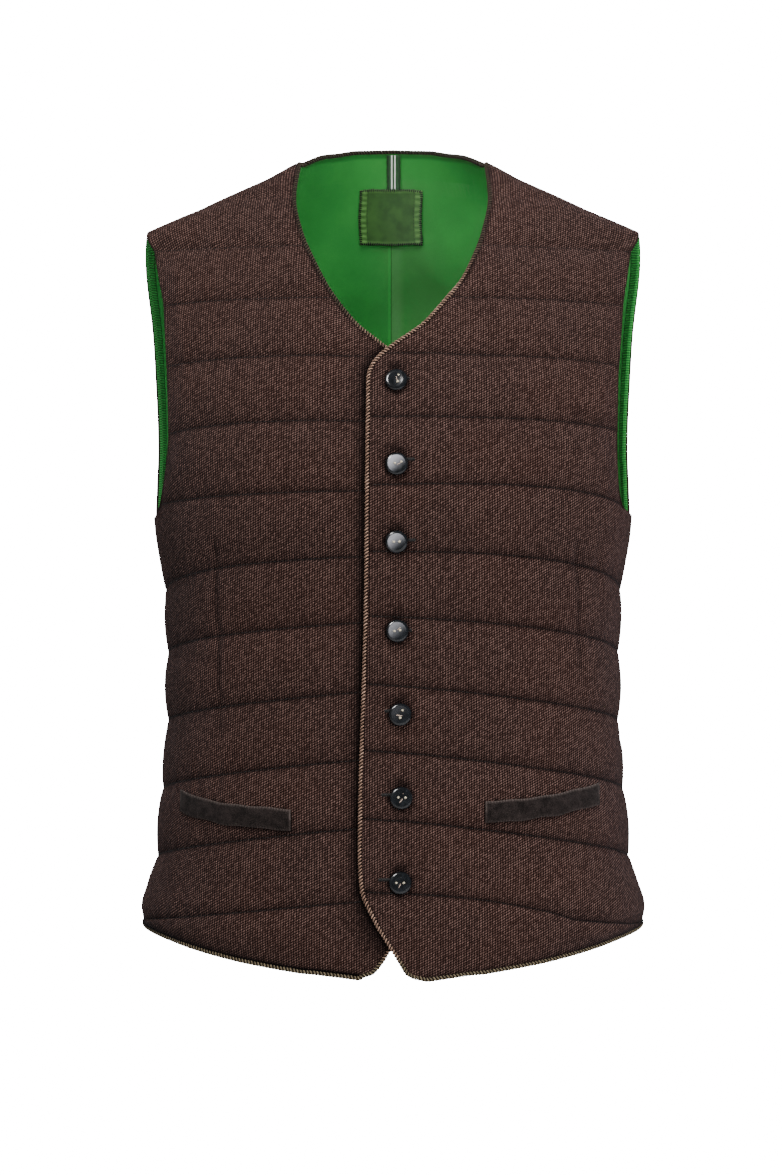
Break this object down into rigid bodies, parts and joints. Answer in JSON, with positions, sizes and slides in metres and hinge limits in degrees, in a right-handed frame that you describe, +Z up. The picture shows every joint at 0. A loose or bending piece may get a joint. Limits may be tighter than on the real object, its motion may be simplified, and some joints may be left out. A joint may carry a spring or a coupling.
{
  "type": "quilted vest",
  "caption": "Sleeveless quilted vest with a V neck, lapped buttoned front, bound edges, welt pockets and a plain lining.",
  "frame": {"origin": "midway between the shoulders, in the plane of the side seams, at the height where the inside of mid-shoulder rests on the wearer", "axes": "+Z up along the worn garment, -Y towards the buttoned front, +X towards the wearer's left, which is the viewer's right from the front"},
  "size_m": [0.4094, 0.276, 0.6764],
  "materials": {
    "brown_knit": "fine slanting knit over thin padding, matt",
    "green_lining": "smooth woven lining, satin",
    "brown_edging": "twisted wool rope edging, matt",
    "charcoal_felt": "felted wool, matt",
    "green_label": "plain woven label, bare",
    "striped_tape": "woven tape with two pale lines",
    "dark_horn": "polished dark horn with pale streaks"
  },
  "bodies": {
    "root": {"right_front": "brown_knit", "left_front": "brown_knit", "back": "brown_knit", "right_front_lining": "green_lining", "left_front_lining": "green_lining", "back_lining": "green_lining", "right_front_edge_cord": "brown_edging", "left_front_edge_cord": "brown_edging", "back_neck_edge_cord": "brown_edging", "back_hem_edge_cord": "brown_edging", "right_armhole_binding": "brown_knit", "left_armhole_binding": "brown_knit", "right_pocket_welt": "charcoal_felt", "left_pocket_welt": "charcoal_felt", "button_1": "dark_horn", "button_2": "dark_horn", "button_3": "dark_horn", "button_4": "dark_horn", "button_5": "dark_horn", "button_6": "dark_horn", "button_7": "dark_horn", "neck_label": "green_label", "hanging_tape": "striped_tape"}
  },
  "joints": []
}
